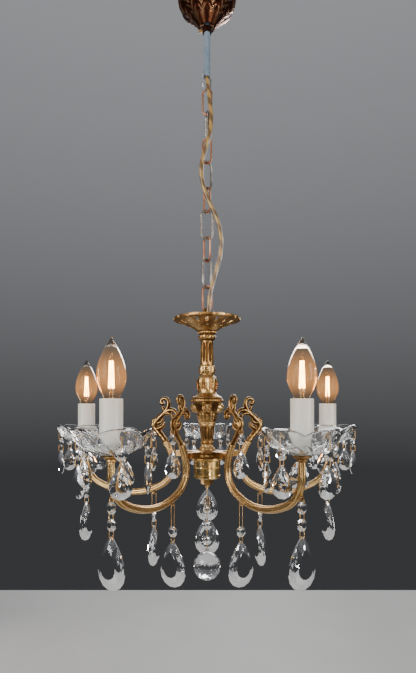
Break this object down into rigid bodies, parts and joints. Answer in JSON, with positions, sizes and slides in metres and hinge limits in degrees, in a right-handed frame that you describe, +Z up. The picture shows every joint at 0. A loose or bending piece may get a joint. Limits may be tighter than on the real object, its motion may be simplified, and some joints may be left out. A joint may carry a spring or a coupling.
{
  "type": "chandelier",
  "caption": "Brass chandelier on a chain, with candle lamps over glass drip pans, scrolled arms and hanging cut-crystal drops.",
  "frame": {"origin": "centre of the ceiling bracket, on the ceiling plane; the chandelier hangs below it", "axes": "+Z up through the tube, chain and column; the viewer of the usual view stands at -Y"},
  "size_m": [0.4872, 0.4723, 0.896],
  "materials": {
    "antique_brass": "aged satin, darker in the recesses",
    "polished_brass": "polished, slightly tarnished",
    "pin_brass": "bright wire",
    "copper_wire": "aged copper plate",
    "antique_silver": "aged silver plate, darker in the recesses",
    "dark_bronze": "dark bronze with copper on the high spots",
    "plated_steel": "zinc plated",
    "grey_lacquer": "semi-gloss grey-blue",
    "white_plastic": "moulded",
    "ivory_sleeve": "satin ivory candle tube",
    "bulb_glass": "clear, lit warm",
    "lead_crystal": "cut and polished",
    "gold_flex": "translucent gold PVC"
  },
  "bodies": {
    "ceiling_set": {"ceiling_bracket": "plated_steel", "hanging_tube": "grey_lacquer", "terminal_block": "white_plastic", "bail": "plated_steel"},
    "canopy_set": {"canopy": "dark_bronze", "canopy_collar": "antique_brass", "grub_screw": "pin_brass"},
    "lamp": {"chain_plain_links": "copper_wire", "chain_beaded_links": "antique_silver", "crown_eye": "antique_brass", "gallery": "antique_brass", "capital": "antique_brass", "column": "antique_brass", "urn": "antique_brass", "lower_vase": "antique_brass", "spider": "antique_brass", "hub_cup": "polished_brass", "bottom_nut": "antique_brass", "centre_rod": "plated_steel", "flex": "gold_flex", "drip_cups": "antique_brass", "lampholders": "white_plastic", "small_drops": "lead_crystal", "drop_pins": "pin_brass", "arm_1": "antique_brass", "scroll_1": "antique_brass", "pan_1": "lead_crystal", "candle_1": "ivory_sleeve", "bulb_1": "bulb_glass", "arm_2": "antique_brass", "scroll_2": "antique_brass", "pan_2": "lead_crystal", "candle_2": "ivory_sleeve", "bulb_2": "bulb_glass", "arm_3": "antique_brass", "scroll_3": "antique_brass", "pan_3": "lead_crystal", "candle_3": "ivory_sleeve", "bulb_3": "bulb_glass", "arm_4": "antique_brass", "scroll_4": "antique_brass", "pan_4": "lead_crystal", "candle_4": "ivory_sleeve", "bulb_4": "bulb_glass", "arm_5": "antique_brass", "scroll_5": "antique_brass", "pan_5": "lead_crystal", "candle_5": "ivory_sleeve", "bulb_5": "bulb_glass"},
    "candle_strand_1": {"candle_strand_1": "lead_crystal"},
    "candle_strand_2": {"candle_strand_2": "lead_crystal"},
    "candle_strand_3": {"candle_strand_3": "lead_crystal"},
    "candle_strand_4": {"candle_strand_4": "lead_crystal"},
    "candle_strand_5": {"candle_strand_5": "lead_crystal"},
    "arm_strand_1": {"arm_strand_1": "lead_crystal"},
    "arm_strand_2": {"arm_strand_2": "lead_crystal"},
    "arm_strand_3": {"arm_strand_3": "lead_crystal"},
    "arm_strand_4": {"arm_strand_4": "lead_crystal"},
    "arm_strand_5": {"arm_strand_5": "lead_crystal"},
    "centre_strand": {"centre_strand": "lead_crystal"}
  },
  "joints": [
    {"name": "canopy_slide", "type": "slide", "parent": "ceiling_set", "child": "canopy_set", "axis": [0, 0, -1], "range_m": [0, 0.06]},
    {"name": "lamp_swing", "type": "hinge", "parent": "ceiling_set", "child": "lamp", "pos_m": [0, 0, -0.16185], "axis": [0, 1, 0], "range_deg": [-15, 15], "deforming": ["flex"]},
    {"name": "candle_strand_1_swing", "type": "hinge", "parent": "lamp", "child": "candle_strand_1", "pos_m": [-0.10988, -0.17247, -0.74661], "axis": [-0.5373, -0.8434, 0], "range_deg": [-25, 25]},
    {"name": "candle_strand_2_swing", "type": "hinge", "parent": "lamp", "child": "candle_strand_2", "pos_m": [0.10988, -0.17247, -0.74661], "axis": [0.5373, -0.8434, 0], "range_deg": [-25, 25]},
    {"name": "candle_strand_3_swing", "type": "hinge", "parent": "lamp", "child": "candle_strand_3", "pos_m": [0.19556, 0.05979, -0.74661], "axis": [0.9563, 0.2924, 0], "range_deg": [-25, 25]},
    {"name": "candle_strand_4_swing", "type": "hinge", "parent": "lamp", "child": "candle_strand_4", "pos_m": [0, 0.2045, -0.74661], "axis": [0, 1, 0], "range_deg": [-25, 25]},
    {"name": "candle_strand_5_swing", "type": "hinge", "parent": "lamp", "child": "candle_strand_5", "pos_m": [-0.19556, 0.05979, -0.74661], "axis": [-0.9563, 0.2924, 0], "range_deg": [-25, 25]},
    {"name": "arm_strand_1_swing", "type": "hinge", "parent": "lamp", "child": "arm_strand_1", "pos_m": [-0.04621, -0.07253, -0.76983], "axis": [-0.5373, -0.8434, 0], "range_deg": [-25, 25]},
    {"name": "arm_strand_2_swing", "type": "hinge", "parent": "lamp", "child": "arm_strand_2", "pos_m": [0.04621, -0.07253, -0.76983], "axis": [0.5373, -0.8434, 0], "range_deg": [-25, 25]},
    {"name": "arm_strand_3_swing", "type": "hinge", "parent": "lamp", "child": "arm_strand_3", "pos_m": [0.08224, 0.02514, -0.76983], "axis": [0.9563, 0.2924, 0], "range_deg": [-25, 25]},
    {"name": "arm_strand_4_swing", "type": "hinge", "parent": "lamp", "child": "arm_strand_4", "pos_m": [0, 0.086, -0.76983], "axis": [0, 1, 0], "range_deg": [-25, 25]},
    {"name": "arm_strand_5_swing", "type": "hinge", "parent": "lamp", "child": "arm_strand_5", "pos_m": [-0.08224, 0.02514, -0.76983], "axis": [-0.9563, 0.2924, 0], "range_deg": [-25, 25]},
    {"name": "centre_strand_swing", "type": "hinge", "parent": "lamp", "child": "centre_strand", "pos_m": [0, 0, -0.75415], "axis": [0, -1, 0], "range_deg": [-20, 20]}
  ]
}
